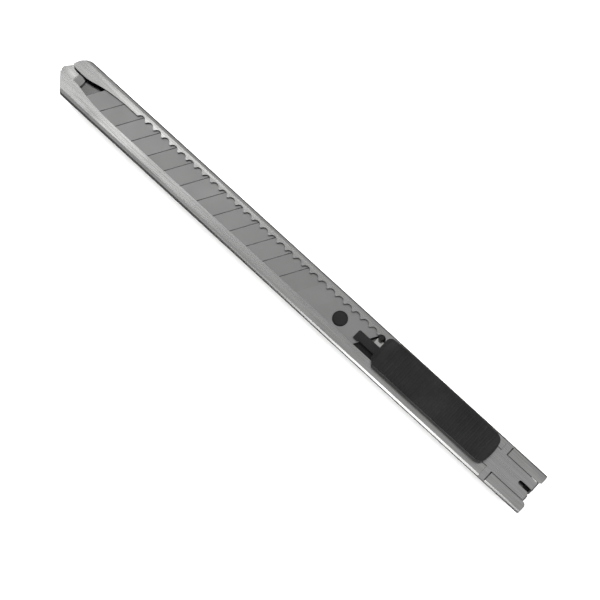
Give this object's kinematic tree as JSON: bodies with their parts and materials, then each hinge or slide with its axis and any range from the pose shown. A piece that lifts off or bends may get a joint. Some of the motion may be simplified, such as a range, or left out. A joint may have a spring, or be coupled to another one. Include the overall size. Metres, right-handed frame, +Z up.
{
  "type": "snap-off utility knife",
  "caption": "Slim snap-off utility knife: folded steel sleeve with a notched lip, blade on a sliding holder, ribbed auto-lock thumb slide and a tail clip.",
  "frame": {"origin": "under the middle of the knife, at the level of the pocket clip's outer face (bottom centre of the bounding box)", "axes": "+X from the nose to the tail, +Y towards the notched lip (the blade's spine side), +Z up out of the open face towards the thumb slide"},
  "size_m": [0.141, 0.0103, 0.008],
  "materials": {
    "sleeve_steel": "satin stainless sheet with a fine lengthwise grain",
    "clip_steel": "satin stainless spring sheet",
    "blade_steel": "ground carbon steel with a thin oil film",
    "spring_steel": "bright rolled spring strip",
    "holder_plastic": "black moulded acetal, smooth",
    "pin_plastic": "black moulded acetal, smooth",
    "cap_plastic": "black moulded ABS, fine spark-eroded grain"
  },
  "bodies": {
    "sleeve": {"sleeve": "sleeve_steel", "end_clip": "clip_steel"},
    "blade_carrier": {"snap_blade": "blade_steel", "blade_holder": "holder_plastic", "lock_spring": "spring_steel"},
    "thumb_slide": {"thumb_slide": "cap_plastic"},
    "lock_pin": {"lock_pin": "pin_plastic"}
  },
  "joints": [
    {"name": "blade_slide", "type": "slide", "parent": "sleeve", "child": "blade_carrier", "axis": [-1, 0, 0], "range_m": [0, 0.0725], "deforming": ["lock_spring", "lock_pin"]},
    {"name": "thumb_shift", "type": "slide", "parent": "blade_carrier", "child": "thumb_slide", "axis": [-1, 0, 0], "range_m": [0, 0.001], "stiffness_N_per_m": 100},
    {"name": "pin_retract", "type": "slide", "parent": "blade_carrier", "child": "lock_pin", "axis": [0, -1, 0], "range_m": [0, 0.00085]}
  ],
  "couplings": [
    {"joint": "pin_retract", "follows": "thumb_shift", "ratio": 0.85}
  ]
}
